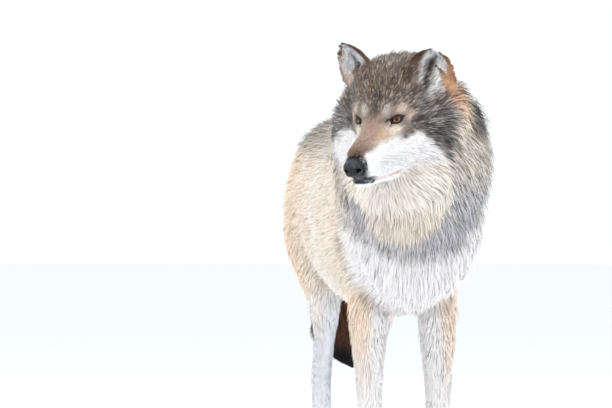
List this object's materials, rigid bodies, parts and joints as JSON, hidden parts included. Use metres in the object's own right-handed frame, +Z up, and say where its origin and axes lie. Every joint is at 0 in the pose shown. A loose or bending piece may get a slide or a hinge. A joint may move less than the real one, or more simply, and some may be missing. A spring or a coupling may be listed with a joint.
{
  "type": "standing grey wolf",
  "caption": "Life-size still model of a grey wolf in winter coat, standing on its four paws with mouth closed, tail hanging and head turned to its right.",
  "frame": {"origin": "middle of the footprint of the whole wolf's bounding box, on the floor under its soles", "axes": "+Z up; the wolf faces -Y, its left side is +X and its tail is at +Y; the head is turned towards -X"},
  "size_m": [0.3236, 1.2602, 0.9133],
  "materials": {
    "coat_grizzled": "dense winter fur, grey-brown guard hairs over cream underfur",
    "coat_pale": "short to medium pale fur",
    "coat_dark": "long dark brown to black fur",
    "ear_coat": "short rufous fur with a white-haired cup",
    "nose_skin": "moist pebbled black skin",
    "eye": "wet amber-brown eye"
  },
  "bodies": {
    "root": {"ear_left": "ear_coat", "ear_right": "ear_coat", "eye_left": "eye", "eye_right": "eye", "foreleg_lower_left": "coat_pale", "foreleg_lower_right": "coat_pale", "foreleg_upper_left": "coat_pale", "foreleg_upper_right": "coat_pale", "forepaw_left": "coat_pale", "forepaw_right": "coat_pale", "head": "coat_grizzled", "hindleg_lower_left": "coat_pale", "hindleg_lower_right": "coat_pale", "hindpaw_left": "coat_pale", "hindpaw_right": "coat_pale", "lower_jaw": "coat_pale", "muzzle": "coat_pale", "neck": "coat_grizzled", "nose": "nose_skin", "shank_left": "coat_pale", "shank_right": "coat_pale", "tail_base": "coat_grizzled", "tail_middle": "coat_dark", "tail_tip": "coat_dark", "thigh_left": "coat_grizzled", "thigh_right": "coat_grizzled", "trunk_front": "coat_grizzled", "trunk_middle": "coat_grizzled", "trunk_rear": "coat_grizzled"}
  },
  "joints": []
}
